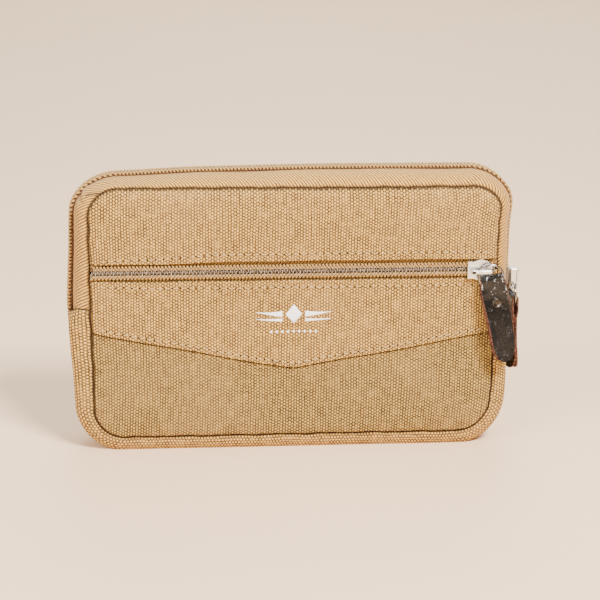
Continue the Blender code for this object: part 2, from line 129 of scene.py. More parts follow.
class Finish:
    """One material under construction round a Principled shader."""

    def __init__(self, name, **constants):
        self.material = bpy.data.materials.new(name)
        self.material.use_nodes = True
        self.tree = self.material.node_tree
        self.shader = self.tree.nodes["Principled BSDF"]
        for socket, value in constants.items():
            title = socket.replace("_", " ").title().replace("Ior", "IOR")
            self.shader.inputs[title].default_value = value

    def node(self, kind, settings=None, inputs=None):
        made = self.tree.nodes.new(kind)
        for key, value in (settings or {}).items():
            setattr(made, key, value)
        for key, value in (inputs or {}).items():
            if isinstance(value, Value):
                self.tree.links.new(value.socket, made.inputs[key])
            else:
                made.inputs[key].default_value = value
        return made

    def feed(self, socket, value):
        self.tree.links.new(value.socket, self.shader.inputs[socket])

    def place(self):
        made = self.node("ShaderNodeTexCoord")
        return Value(self, made.outputs["Object"])

    def cloth_place(self):
        made = self.node("ShaderNodeUVMap", {"uv_map": "cloth"})
        return Value(self, made.outputs["UV"])

    def attribute(self, name):
        made = self.node("ShaderNodeAttribute", {"attribute_name": name})
        return Value(self, made.outputs["Fac"])

    def parts(self, vector):
        made = self.node("ShaderNodeSeparateXYZ", None, {0: vector})
        return [Value(self, made.outputs[k]) for k in range(3)]

    def stretched(self, vector, scales):
        made = self.node("ShaderNodeVectorMath", {"operation": "MULTIPLY"}, {0: vector, 1: scales})
        return Value(self, made.outputs[0])

    def noise(self, vector, scale, detail=2.0, roughness=0.5):
        sockets = {"Vector": vector, "Scale": scale, "Detail": detail, "Roughness": roughness}
        return Value(self, self.node("ShaderNodeTexNoise", None, sockets).outputs[0])

    def cells(self, vector, scale, feature="F1"):
        made = self.node(
            "ShaderNodeTexVoronoi", {"feature": feature}, {"Vector": vector, "Scale": scale}
        )
        return Value(self, made.outputs["Distance"])

    def blend(self, share, first, second):
        made = self.node("ShaderNodeMix", {"data_type": "RGBA"}, {0: share, 6: first, 7: second})
        return Value(self, made.outputs[2])

    def done(self, colour, height=None, distance=0.0, strength=1.0):
        """The material, in this colour and with the relief of this height."""
        self.feed("Base Color", colour)
        if height:
            sockets = {"Height": height, "Distance": distance, "Strength": strength}
            made = self.node("ShaderNodeBump", None, sockets)
            self.feed("Normal", Value(self, made.outputs[0]))
        return self.material


def rgb(red, green, blue):
    """A screen colour, 0 to 255, as the linear colour that a shader takes."""
    channels = [value / 255 for value in (red, green, blue)]
    return (*[c / 12.92 if c < 0.04 else ((c + 0.055) / 1.055) ** 2.4 for c in channels], 1.0)


CANVAS_LIGHT, CANVAS_DEEP = rgb(232, 181, 97), rgb(72, 50, 27)
# A darker copy of the canvas for the pocket panel: painted shade.
SHADED_POCKET_LIGHT, SHADED_POCKET_DEEP = rgb(200, 161, 88), rgb(60, 42, 21)
TAPE_LIGHT, TAPE_DEEP = rgb(220, 166, 78), rgb(78, 50, 24)
SHADED_SEAM = rgb(42, 23, 12)
WEAVE_COLUMN, WEAVE_ROW = 0.00114, 0.00134


def canvas_finish(name="pouch_canvas", light=CANVAS_LIGHT, deep=CANVAS_DEEP):
    """Coarse plain weave: beads in columns 1.14 mm apart, 1.34 mm up each column, each column
    half a bead off its neighbour. The height is cos(half column) times cos(row), and a rib
    along each column, cos(column)."""
    finish = Finish(name, sheen_weight=0.05, specular_ior_level=0.12, roughness=0.9)
    cloth = finish.cloth_place()
    across, along, _ = finish.parts(cloth)
    sway = finish.noise(cloth, 60.0) - 0.5
    drift = finish.noise(finish.stretched(cloth, (1.0, 1.7, 1.0)), 95.0) - 0.5
    column = across * (1 / WEAVE_COLUMN) + sway * 0.9
    row = along * (1 / WEAVE_ROW) + drift * 0.9
    beads = (column * 0.5).wave() * row.wave() * 0.8 + column.wave() * 0.45
    warp_slub = finish.noise(finish.stretched(cloth, (1250.0, 150.0, 1.0)), 1.0, 1.0)
    weft_slub = finish.noise(finish.stretched(cloth, (150.0, 1400.0, 1.0)), 1.0, 1.0)
    raised = (beads + (warp_slub - 0.5) + (weft_slub - 0.5) * 0.8).step(-0.75, 0.85)
    tone = finish.noise(cloth, 22.0, 3.0)
    colour = finish.blend(raised, deep, light)
    colour = finish.blend((tone - 0.4).step(0.0, 0.35) * 0.16, colour, rgb(196, 150, 98))
    speck = finish.noise(cloth, 420.0, 1.0).step(0.765, 0.80)
    colour = finish.blend(speck * 0.45, colour, rgb(176, 92, 62))
    # Painted shade: the seam colour laid where the mesh's shade attribute marks seam grooves and
    # recesses.
    colour = finish.blend(finish.attribute("tucked").step(0.1, 0.9) * 0.9, colour, SHADED_SEAM)
    return finish.done(colour, raised, 0.0003)


def tape_finish():
    """Twill tape: ribs that lean across it."""
    finish = Finish("zip_tape_twill", sheen_weight=0.15, specular_ior_level=0.25, roughness=0.8)
    cloth = finish.cloth_place()
    along, across, _ = finish.parts(cloth)
    sway = finish.noise(cloth, 140.0) - 0.5
    rib = (along * (1 / 0.00137) - across * (1 / 0.0019) + sway * 0.35).wave()
    thread = finish.noise(finish.stretched(cloth, (900.0, 900.0, 1.0)), 1.0)
    raised = (rib * 0.5 + thread * 0.8).step(-0.25, 0.9)
    colour = finish.blend(raised, TAPE_DEEP, TAPE_LIGHT)
    # Painted shade: the seam colour laid where the mesh's shade attribute marks seam grooves and
    # recesses.
    colour = finish.blend(finish.attribute("tucked").step(0.1, 0.9) * 0.9, colour, SHADED_SEAM)
    return finish.done(colour, raised, 0.00012, 0.7)


def thread_finish(name="sewing_thread", light=rgb(216, 184, 122), deep=rgb(164, 128, 76)):
    """Plied thread: fine diagonal plies in object space."""
    finish = Finish(name, sheen_weight=0.2, specular_ior_level=0.3, roughness=0.65)
    place = finish.place()
    x, y, z = finish.parts(place)
    ply = ((x + z + y) * (1 / 0.00042)).wave()
    fuzz = finish.noise(place, 2600.0)
    raised = (ply * 0.5 + fuzz).step(0.0, 1.1)
    return finish.done(finish.blend(raised, deep, light), raised, 0.00006, 0.6)


def coil_finish():
    """Dyed nylon wire: grey-brown, glossy, scuffed pale on its crown."""
    finish = Finish("zip_coil_nylon", specular_ior_level=0.6, coat_weight=0.3, coat_roughness=0.2)
    place = finish.place()
    scuff = finish.noise(place, 900.0, 3.0)
    colour = finish.blend(scuff.step(0.35, 0.7), rgb(84, 68, 54), rgb(170, 148, 122))
    finish.feed("Roughness", scuff * 0.2 + 0.12)
    return finish.done(colour, scuff, 0.00004, 0.4)


def nickel_finish(name, colour, wear, roughness, metallic=1.0):
    """Plated metal: a smooth bright skin, worn and duller in soft patches."""
    finish = Finish(name, metallic=metallic)
    smudge = finish.noise(finish.place(), 160.0, 3.0)
    worn = smudge.step(0.3, 0.62)
    finish.feed("Roughness", smudge * 0.16 + roughness)
    return finish.done(finish.blend(worn, wear, colour), smudge, 0.00002, 0.15)


BEND_LOW, BEND_HIGH = 0.063, 0.071


def leather_finish():
    """Pebbled glossy hide on the grain side; red-brown suede where the attribute raw is 1, on
    cut edges and the flesh side. Pale glints gather near the fold, above BEND_LOW."""
    finish = Finish("pull_leather", specular_ior_level=0.18, coat_roughness=0.15)
    place = finish.place()
    raw = finish.attribute("raw").step(0.3, 0.7)
    pebble = finish.cells(place, 1150.0, "DISTANCE_TO_EDGE").step(0.0, 0.28)
    fine = finish.noise(place, 1900.0, 3.0)
    crease = finish.noise(finish.stretched(place, (1.0, 1.0, 0.35)), 420.0, 3.0, 0.6)
    # Painted highlight: pale on the pebble ridges, in patches along the creases.
    ridge_highlight = (pebble * fine).step(0.42, 0.75) * crease.step(0.42, 0.62)
    hide = finish.blend(pebble, rgb(8, 6, 6), rgb(22, 18, 17))
    hide = finish.blend(ridge_highlight * 0.28, hide, rgb(104, 94, 90))
    bent = finish.parts(place)[2].step(BEND_LOW, BEND_HIGH)
    glint = (finish.noise(place, 1300.0, 1.0) * crease.step(0.4, 0.6)).step(0.5, 0.62)
    hide = finish.blend(glint * (bent * 0.75 + 0.1), hide, rgb(206, 202, 200))
    nap = finish.noise(place, 1000.0, 4.0, 0.75)
    suede = finish.blend(nap.step(0.38, 0.62), rgb(40, 24, 18), rgb(134, 88, 70))
    patch = finish.noise(place, 160.0).step(0.4, 0.6)
    finish.feed("Roughness", patch * 0.22 + raw * 0.5 + 0.26 - bent * 0.1)
    finish.feed("Coat Weight", (1 - raw) * ((1 - patch) * 0.16 + bent * 0.5))
    relief = pebble * (1 - raw) + nap * raw * 2.0 + fine * 0.3 + crease * 0.8
    return finish.done(finish.blend(raw, hide, suede), relief, 0.0005)


def fibre_finish():
    finish = Finish("loose_hide_fibres", roughness=0.85, specular_ior_level=0.2)
    shade = finish.noise(finish.place(), 700.0, 1.0)
    return finish.done(finish.blend(shade.step(0.35, 0.65), rgb(92, 46, 32), rgb(168, 104, 80)))


def print_finish():
    """White ink that thins out in the hollows of the weave below it."""
    finish = Finish("white_print_ink", roughness=0.55, specular_ior_level=0.4)
    cloth = finish.cloth_place()
    across, along, _ = finish.parts(cloth)
    beads = (across * (0.5 / WEAVE_COLUMN)).wave() * (along * (1 / WEAVE_ROW)).wave()
    cover = (beads + finish.noise(cloth, 900.0) * 1.6).step(-0.6, 0.5)
    return finish.done(finish.blend(cover, rgb(246, 238, 226), rgb(255, 255, 255)), cover, 0.00012, 0.5)


def plain_weave_finish(name, light, deep, pitch):
    """Fine even cloth in object space, for the linings and bindings."""
    finish = Finish(name, roughness=0.82, specular_ior_level=0.2, sheen_weight=0.1)
    place = finish.place()
    x, y, z = finish.parts(place)
    raised = (((x + y) * (1 / pitch)).wave() * (z * (1 / pitch)).wave()).step(-0.7, 0.7)
    tone = finish.noise(place, 60.0, 3.0)
    return finish.done(finish.blend(raised * 0.7 + tone * 0.3, deep, light), raised, 0.0001, 0.6)


def foam_finish():
    """Open wadding: small pores in object space."""
    finish = Finish("soft_wadding", roughness=0.95, specular_ior_level=0.1)
    pores = finish.cells(finish.place(), 1400.0).step(0.05, 0.45)
    return finish.done(finish.blend(pores, rgb(190, 182, 160), rgb(238, 234, 220)), pores, 0.0003, 0.7)


def mottled_finish(name, scale, detail, first, second, roughness, specular):
    """Two close colours in soft patches."""
    finish = Finish(name, roughness=roughness, specular_ior_level=specular)
    return finish.done(finish.blend(finish.noise(finish.place(), scale, detail), first, second))


CANVAS = canvas_finish()
SHADED_POCKET_CANVAS = canvas_finish("shaded_pocket_canvas", SHADED_POCKET_LIGHT, SHADED_POCKET_DEEP)
TWILL = tape_finish()
THREAD = thread_finish()
CHAIN_THREAD = thread_finish("chain_lock_thread", rgb(226, 178, 92), rgb(132, 92, 42))
# The filler cord is real; its dark colour is painted shade under the teeth.
SHADED_CORD = thread_finish("shaded_filler_cord", rgb(112, 70, 34), rgb(66, 38, 18))
COIL = coil_finish()
SLIDER_NICKEL = nickel_finish("slider_nickel", rgb(250, 250, 248), rgb(206, 204, 200), 0.16, 0.92)
# A darker copy of the slider nickel for the main slider's body: painted shade, so the crown reads
# bright.
SHADED_NICKEL = nickel_finish("shaded_slider_nickel", rgb(124, 118, 112), rgb(70, 66, 62), 0.2)
# A dark plug standing for the shade in the crown's slot: painted shadow.
SLOT_SHADOW = nickel_finish("painted_slot_shadow", rgb(58, 54, 50), rgb(26, 24, 22), 0.4)
RING_STEEL = nickel_finish("ring_steel", rgb(180, 177, 172), rgb(82, 77, 72), 0.1)
RIVET_METAL = nickel_finish("rivet_metal", rgb(106, 98, 92), rgb(48, 43, 39), 0.2)
LEATHER = leather_finish()
FIBRES = fibre_finish()
PRINT = print_finish()
LINING = plain_weave_finish("lining_cloth", rgb(186, 156, 116), rgb(132, 102, 70), 0.0006)
BINDING = plain_weave_finish("seam_binding_tape", rgb(206, 172, 126), rgb(150, 114, 74), 0.0009)
FOAM = foam_finish()
# Dark discs standing for the shade in needle holes: painted shade.
NEEDLE_HOLE_SHADE = mottled_finish("needle_hole_shade", 900.0, 1.0, rgb(34, 22, 12), rgb(66, 44, 24), 0.95, 0.05)
FLOOR = mottled_finish("studio_floor", 3.0, 3.0, rgb(242, 204, 162), rgb(248, 214, 174), 0.6, 0.3)


# Meshes.


def make_mesh(name, points, faces, cloth=None, **marks):
    """A mesh from points in millimetres, its faces, a cloth place per point and, by name,
    how raw each point is and how much painted shade it takes."""
    mesh = bpy.data.meshes.new(name)
    mesh.from_pydata((points.reshape(-1, 3) * MM).tolist(), [], [list(face) for face in faces])
    if cloth is not None:
        layer = mesh.uv_layers.new(name="cloth")
        corner = np.empty(len(mesh.loops), np.int32)
        mesh.loops.foreach_get("vertex_index", corner)
        layer.data.foreach_set("uv", (cloth.reshape(-1, 2)[corner] * MM).ravel())
    for mark, values in marks.items():
        layer = mesh.attributes.new(mark, "FLOAT", "POINT")
        layer.data.foreach_set("value", np.ravel(values).astype(np.float32))
    mesh.shade_smooth()
    return mesh


def new_object(name, data):
    obj = bpy.data.objects.new(name, data)
    bpy.context.scene.collection.objects.link(obj)
    return obj


def place_piece(mesh, finish, body, replaced=()):
    obj = new_object(mesh.name, mesh)
    mesh.materials.append(finish)
    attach(obj, body)
    if replaced:
        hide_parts(*replaced)
    return obj


def thicken(obj, thickness):
    modifier = obj.modifiers.new("cloth thickness", "SOLIDIFY")
    modifier.thickness = thickness * MM
    modifier.offset = -1
    modifier.use_even_offset = False


def grid_faces(rows, columns, flip=False, round_rows=False, round_columns=False):
    """Quads of a rows by columns grid of points; a round direction joins its end to its start."""
    i = np.arange(rows if round_rows else rows - 1)[:, None]
    j = np.arange(columns if round_columns else columns - 1)[None, :]
    below, right = (i + 1) % rows, (j + 1) % columns
    quads = [i * columns + j, i * columns + right, below * columns + right, below * columns + j]
    quads = stacked(*quads).reshape(-1, 4)
    return quads[:, ::-1] if flip else quads


def stacked(*coordinates):
    """Coordinates, each stretched to their common shape, as points."""
    return np.stack(np.broadcast_arrays(*coordinates), -1)


def unit(vectors):
    return vectors / np.maximum(np.linalg.norm(vectors, axis=-1, keepdims=True), 1e-9)


def tubes(paths, radius, sides, lead=(0.0, 0.0, 1.0)):
    """Many round threads: at every point of each path, a circle of the radius in the plane
    square to the path. Returns points and faces, with closed ends."""
    count, steps, _ = paths.shape
    along = unit(np.gradient(paths, axis=1))
    side = unit(np.cross(along, lead))
    up = np.cross(side, along)
    angle = np.arange(sides) / sides * TURN
    radius = np.broadcast_to(radius, (count, steps))[:, :, None, None]
    circle = np.cos(angle)[:, None] * side[:, :, None] + np.sin(angle)[:, None] * up[:, :, None]
    points = paths[:, :, None] + radius * circle
    base = grid_faces(steps, sides, round_columns=True, flip=True)
    offsets = (np.arange(count) * steps * sides)[:, None, None]
    faces = (base[None] + offsets).reshape(-1, 4).tolist()
    ring = np.arange(sides)
    starts = (ring[None] + offsets[:, 0]).tolist()
    ends = (ring[None, ::-1] + offsets[:, 0] + (steps - 1) * sides).tolist()
    return points.reshape(-1, 3), faces + starts + ends


def joined(*shapes):
    """Several (points, faces) as one."""
    points, faces, offset = [], [], 0
    for shape_points, shape_faces in shapes:
        points.append(shape_points.reshape(-1, 3))
        faces += [[index + offset for index in face] for face in shape_faces]
        offset += len(points[-1])
    return np.concatenate(points), faces


def bump(value, middle, spread):
    """A smooth hill, 1 at the middle."""
    return np.exp(-(((value - middle) / spread) ** 2))


def ramp(value, low, high):
    share = np.clip((value - low) / (high - low), 0, 1)
    return share * share * (3 - 2 * share)


def closed_piece(name, points, faces, finish, body, slot, replaced=(), weld=False, **marks):
    """A closed shape with its faces turned outwards, points that coincide joined if asked."""
    mesh = make_mesh(name, points, faces, **marks)
    bm = bmesh.new()
    bm.from_mesh(mesh)
    if weld:
        bmesh.ops.remove_doubles(bm, verts=bm.verts, dist=1e-7)
    bmesh.ops.recalc_face_normals(bm, faces=bm.faces)
    bm.to_mesh(mesh)
    bm.free()
    return place_piece(mesh, finish, body, replaced)


# The sewn outline and how the stuffed cloth settles.


def depth_inside(x, z):
    """Distance inside the rounded seam outline: half sizes less the corner radius, folded."""
    middle, half_height = (TOP + BOTTOM) / 2, (TOP - BOTTOM) / 2
    radius = np.where(z > middle, TOP_RADIUS, BOTTOM_RADIUS)
    a, b = np.abs(x) - (HALF - radius), np.abs(z - middle) - (half_height - radius)
    outside = np.hypot(np.maximum(a, 0), np.maximum(b, 0)) + np.minimum(np.maximum(a, b), 0)
    return radius - outside


def half_width(z):
    """Half the outline's width at height z."""
    top = np.clip(z - (TOP - TOP_RADIUS), 0, TOP_RADIUS)
    low = np.clip(BOTTOM + BOTTOM_RADIUS - z, 0, BOTTOM_RADIUS)
    at_top = TOP_RADIUS - np.sqrt(TOP_RADIUS**2 - top**2)
    return HALF - at_top - (BOTTOM_RADIUS - np.sqrt(BOTTOM_RADIUS**2 - low**2))


def settled(points):
    """Moves cloth points from the pattern's straight lines to where the stuffed pouch holds
    them: corners pushed out or drawn in, the left wall bulging, the lower right face full."""
    x, y, z = points[..., 0], points[..., 1], points[..., 2]
    right, left = ramp(x, 20, 84), ramp(-x, 20, 84)
    dx = right * (1.2 * bump(z, 108, 8) - 0.9 * bump(z, 10, 12))
    dx = dx - left * (0.7 * bump(z, 100, 14) - 1.2 * bump(z, 26, 26))
    past_left = np.maximum(-x - HALF, 0)
    dx = dx - 0.38 * past_left * bump(z, 58, 34)
    run = x + 1.3 * z
    wobble = 0.10 * np.sin(0.8 * run + 1.7 * np.sin(0.23 * run)) + 0.12 * np.sin(0.31 * run + 1)
    wobble = wobble * np.exp(-((depth_inside(x, z) / 2.5) ** 2)) * (np.abs(y) > 6)
    dx = dx + wobble * (np.abs(x) > 70) * (np.abs(z - 60) < 46)
    over, above = -depth_inside(x, z), np.maximum(z - (TOP - TOP_RADIUS), 0)
    upward = above / np.maximum(np.hypot(above, np.maximum(-x - HALF + TOP_RADIUS, 0)), 1e-6)
    sag = (0.9 * ramp(-x, -20, 50) + 1.7 * ramp(-x, 35, 82)) * ramp(over, 0, 4) * upward
    front = np.clip(-y / FACE_Y, 0, 1) ** 2
    away = 1 - bump(z, POCKET_ZIP_Z, 9)
    inner = np.clip(depth_inside(x, z) / 8, 0, 1)
    swell = 1.5 * bump(x, 60, 26) * bump(z, 24, 15) + 0.9 * bump(x, -48, 30) * bump(z, 26, 16)
    swell = swell + 0.7 * bump(x, -10, 60) * bump(z, 99, 9)
    dy = -front * away * inner * swell
    dy = dy + 0.8 * np.clip(y / FACE_Y, 0, 1) ** 2 * inner * bump(x, 0, 60) * bump(z, 55, 30)
    dz = -0.5 * front * bump(z, TOP, 12) * bump(x, 30, 40) - sag + wobble * (np.abs(x) < 74)
    return points + stacked(dx, dy, dz)


RIPPLES = np.random.default_rng(11).uniform(0, 1, (7, 4))


def ripple(x, z, d):
    """Faint unevenness of hand-sewn cloth: seven crossed waves, and puckers along the seam."""
    total = np.zeros_like(x)
    for heading, length, phase, size in RIPPLES:
        reach = TURN / (11 + 22 * length)
        total += (0.3 + 0.7 * size) * np.sin(
            reach * (x * math.cos(TURN * heading) + z * math.sin(TURN * heading)) + TURN * phase
        )
    pucker = np.sin(0.95 * x + 1.6 * np.sin(0.21 * x)) * np.sin(0.9 * z + 1.5 * np.sin(0.23 * z) + 1)
    return 0.075 * total + 0.30 * pucker * np.exp(-np.maximum(d, 0) / 3.5)


def face_depth(x, z, flat_y):
    """How far a sewn face stands from the middle plane: a quarter-ellipse roll at the seam."""
    d = depth_inside(x, z)
    share = 1 - np.clip(d / FACE_ROLL, 0, 1)
    rise = np.sqrt(np.maximum(1 - share**2, 0))
    calm = 1 - 0.85 * bump(z, POCKET_ZIP_Z, 7)
    tuck = 1.3 * (1 - np.clip(d / 1.1, 0, 1)) ** 2
    return SEAM_Y + (flat_y - SEAM_Y) * rise - tuck + ripple(x, z, d) * np.clip(d / 2, 0, 1) * calm


def front_point(x, z, lift):
    return settled(stacked(x, -(face_depth(x, z, FACE_Y) + lift), z))


FACE_COLUMNS, EDGE_BUNCHING = 190, 0.97


def face_panel(name, low, high, flat_y, side, thickness, replaced, rows):
    """A face between the heights low(x) and high(x): points run across at u times the half
    width, closer near the seams, and up from low to high, each at its face depth. Its cloth
    place is (x, z)."""
    u = np.sin(np.linspace(-0.5, 0.5, FACE_COLUMNS) * math.pi * EDGE_BUNCHING)
    u = u / math.sin(0.5 * math.pi * EDGE_BUNCHING)
    share = (0.5 - 0.5 * np.cos(np.linspace(0, math.pi, rows)))[:, None]
    x = np.broadcast_to(u * HALF, (rows, u.size))
    z = low(x) + (high(x) - low(x)) * share
    x = u * half_width(z)
    z = low(x) + (high(x) - low(x)) * share
    x = np.clip(x, -half_width(z), half_width(z))
    # under marks a groove just below the yoke's edge; it deepens the cloth there and takes painted
    # shade.
    under = bump(yoke_edge(x) - z, 0.15, 0.55) if flat_y < FACE_Y else 0 * x
    y = side * (face_depth(x, z, flat_y) - 0.5 * under)
    # Painted shade near the seams and in the groove under the yoke.
    tucked = np.maximum(1 - depth_inside(x, z) / 1.4, under)
    points = settled(stacked(x, y, z))
    cloth = stacked(x + 3.0 * side, z + 0.35 * (low(x) > 60))
    mesh = make_mesh(name, points, grid_faces(*x.shape, flip=side > 0), cloth, tucked=tucked)
    # The pocket panel takes the darker copy of the canvas, painted shade.
    finish = SHADED_POCKET_CANVAS if flat_y < FACE_Y else CANVAS
    thicken(place_piece(mesh, finish, "pouch", [replaced]), thickness)


def level(height):
    return lambda x: np.full_like(x, height)


def yoke_edge(x):
    """The yoke's lower edge: two straight lines to a point, the point just rounded."""
    lean = (YOKE_END - YOKE_POINT) / HALF
    raised = 1.5 * ramp(-x, 20, 84)
    return YOKE_POINT + lean * (np.sqrt(x**2 + 1.0) - 1.0) + 0.25 * np.sin(x / 9.0) + raised


def upper_fold(x):
    """The cloth's fold over the zip; it closes down on the chain at the left seam."""
    gape = 0.8 * ramp(x, -60, -15) - 0.3 * ramp(-x, 66, 84)
    return POCKET_ZIP_Z + WINDOW + gape + 0.12 * np.sin(x / 7.0)


def lower_fold(x):
    return POCKET_ZIP_Z - WINDOW + 0.15 * ramp(-x, 66, 84) + 0.12 * np.sin(x / 6.0 + 2)


def under_yoke(x):
    """The pocket panel's top edge, hidden behind the yoke."""
    return yoke_edge(x) + 4.0


def front_faces():
    bottom, top = level(BOTTOM), level(TOP)
    for panel in (
        ("upper_face_cloth", upper_fold, top, FACE_Y, -1, 1.0, "front_upper_panel", 60),
        ("yoke_cloth", yoke_edge, lower_fold, FACE_Y, -1, 0.7, "front_yoke", 56),
        ("pocket_face_cloth", bottom, under_yoke, POCKET_FACE_Y, -1, 0.9, "front_pocket_panel", 110),
        ("back_face_cloth", bottom, top, FACE_Y, 1, 1.0, "back_panel", 120),
    ):
        face_panel(*panel)


# The side wall.


ROUTE_STEP = 0.5


def sampled_route(upper):
    """Points, outward normals and lengths along the seam outline, evenly spaced. The upper
    route climbs from the right hem over the top to the left; the lower one runs underneath."""
    quarter = np.linspace(0, math.pi / 2, 40)
    sign, radius, hem = (1, TOP_RADIUS, HEM_Z) if upper else (-1, BOTTOM_RADIUS, HEM_Z - 0.3)
    centre_z = TOP - radius if upper else BOTTOM + radius
    angles = np.r_[quarter, quarter + math.pi / 2]
    centres = np.repeat([HALF - radius, radius - HALF], quarter.size)
    x = np.r_[HALF, centres + radius * np.cos(angles), -HALF]
    z = np.r_[hem, centre_z + sign * radius * np.sin(angles), hem]
    nx, nz = np.r_[1.0, np.cos(angles), -1.0], np.r_[0.0, sign * np.sin(angles), 0.0]
    if not upper:
        x, z, nx, nz = (values[::-1] for values in (x, z, nx, nz))
    lengths = np.r_[0, np.cumsum(np.hypot(np.diff(x), np.diff(z)))]
    s = np.linspace(0, lengths[-1], int(lengths[-1] / ROUTE_STEP) + 1)
    normal = unit(stacked(np.interp(s, lengths, nx), np.interp(s, lengths, nz)))
    return stacked(np.interp(s, lengths, x), np.interp(s, lengths, z)), normal, s


UPPER, LOWER = sampled_route(True), sampled_route(False)


def wall_point(route, s, y, rise):
    """A point of the side wall at length s, depth y and height rise over the seam outline."""
    points, normals, lengths = route
    p = np.stack([np.interp(s, lengths, points[:, k]) for k in (0, 1)], -1)
    n = unit(np.stack([np.interp(s, lengths, normals[:, k]) for k in (0, 1)], -1))
    # Past either end the route goes on straight: the upper one down, the lower one up.
    beyond = np.maximum(-s, 0) + np.maximum(s - lengths[-1], 0)
    flat = p + n * np.asarray(rise)[..., None]
    x, z = flat[..., 0], flat[..., 1] + (-beyond if route is UPPER else beyond)
    return settled(stacked(x, y, z))


def wall_section(rise, flat):
    """Half of the wall's section, seam first: a quarter ellipse up to the flat."""
    angle = np.linspace(0, math.pi / 2, 14)
    return -(flat + (WALL_EDGE_Y - flat) * np.cos(angle)), rise * np.sin(angle)


def seam_wave(s):
    """Small pulls that the seam's stitches put into the wall's edge."""
    return 0.16 * np.sin(s / 1.15 + 2 * np.sin(s / 9.0)) + 0.14 * np.sin(s / 3.7)


def hem_slant(y):
    """How far the canvas hem climbs over the zip tape: most beside the face seams."""
    return 0.6 + 2.6 * ramp(np.abs(y), 3, 11)


def hem_rise(y):
    """The canvas hem's height over the seam outline: just over the tape and its chain."""
    depth = np.clip((np.abs(y) - TAPE_FLAT) / (WALL_EDGE_Y - TAPE_FLAT), 0, 1)
    over_tape = (TAPE_RISE + 0.7) * np.sqrt(1 - depth**2)
    return np.minimum(np.maximum(over_tape, 6.0 * (np.abs(y) < 3.4)), WALL_RISE)


def wall_cloth(name, route, y, rise, finish, node, pleat=None):
    """A strip: the section's (y, rise) carried along the route. Its cloth place is (length
    along the route, length along the section)."""
    s = route[2][:, None]
    y = np.broadcast_to(y, (s.size, len(y))).copy()
    rise = np.broadcast_to(rise, y.shape).copy()
    tuck = 1.2 * (1 - np.clip(rise / 1.3, 0, 1)) ** 2
    edge = np.clip(1 - rise / 3.0, 0, 1)
    y, rise = y - np.sign(y) * 0.35 * tuck, rise - 0.3 * tuck
    rise = rise + (1 - edge) * 0.10 * np.sin(s / 6.3 + y / 4) + 0.1 * np.sin(s / 14.0)
    y = y - np.sign(y) * edge * 0.5 * np.abs(seam_wave(s))
    if pleat is not None:
        middle, height = pleat
        rise = rise + height * bump(s + 0.25 * y, middle, 1.1) * (1 - edge)
        rise = rise - 0.7 * height * bump(s + 0.25 * y, middle + 2.0, 0.8) * (1 - edge)
    rise = np.minimum(rise, WALL_RISE)
    # Painted shade where the wall sinks into the seam, and beside the pleat's crease.
    tucked = 1 - rise / 1.15
    if pleat is not None:
        crease = bump(s - 0.9 * rise, middle - 2.2, 0.8) * (1 - ramp(rise, 3.2, 5.0))
        tucked = np.maximum(tucked, 0.9 * crease)
    s = np.broadcast_to(s, y.shape)
    if finish is CANVAS:
        hem = 1 - ramp(np.minimum(s, route[2][-1] - s), 0, 6)
        rise = rise + hem * (hem_rise(y) - rise) * ramp(rise, 0, 1)
        s = s + hem_slant(y) * (ramp(s, route[2][-1] - 9, route[2][-1]) - 1 + ramp(s, 0, 9))
    else:
        # Painted shade on the tape where the canvas hem lies over it.
        under = np.minimum(s, route[2][-1] - s) - hem_slant(y)
        tucked = np.maximum(tucked, 1 - ramp(under, 0.1, 0.75))
    points = wall_point(route, s, y, rise)
    across = np.cumsum(np.hypot(np.diff(y, prepend=y[:, :1]), np.diff(rise, prepend=rise[:, :1])), 1)
    cloth = np.stack([across, s] if finish is CANVAS else [s, across], -1)
    mesh = make_mesh(name, points, grid_faces(*y.shape, flip=True), cloth, tucked=tucked)
    slot, thickness = ("canvas", GUSSET_THICK) if finish is CANVAS else ("zip_tape", TAPE_THICK)
    thicken(place_piece(mesh, finish, "pouch", [node]), thickness)


def side_wall():
    """Canvas under the pouch with a turned hem at each end, and the two main zip tapes."""
    y, rise = wall_section(WALL_RISE, WALL_FLAT)
    y = np.r_[y, np.linspace(-7, 7, 15), -y[::-1]]
    rise = np.r_[rise, np.full(15, WALL_RISE), rise[::-1]]
    wall_cloth("gusset_cloth", LOWER, y, rise, CANVAS, "lower_gusset")
    y, rise = wall_section(TAPE_RISE, TAPE_FLAT)
    y, rise = np.r_[y, -3.0, -0.7], np.r_[rise, TAPE_RISE, TAPE_RISE]
    corner = UPPER[2][-1] - (TOP - TOP_RADIUS - HEM_Z) - 0.5 * TOP_RADIUS * math.pi / 2
    pleat = (corner, 0.55)
    wall_cloth("main_front_tape_twill", UPPER, y, rise, TWILL, "main_zip_front_tape", pleat)
    y, rise = -y[::-1], rise[::-1]
    wall_cloth("main_back_tape_twill", UPPER, y, rise, TWILL, "main_zip_back_tape")


# Zips.


def main_zip_place(s, b, c):
    """Main zip coordinates to the pouch: b is depth, c is height over the tape."""
    return wall_point(UPPER, s, b, TAPE_RISE + c)


def pocket_zip_place(s, b, c):
    """Pocket zip coordinates to the pouch: s is X, b is up, c is out of the front."""
    return settled(stacked(s, -(POCKET_TAPE_Y + c), POCKET_ZIP_Z + b))


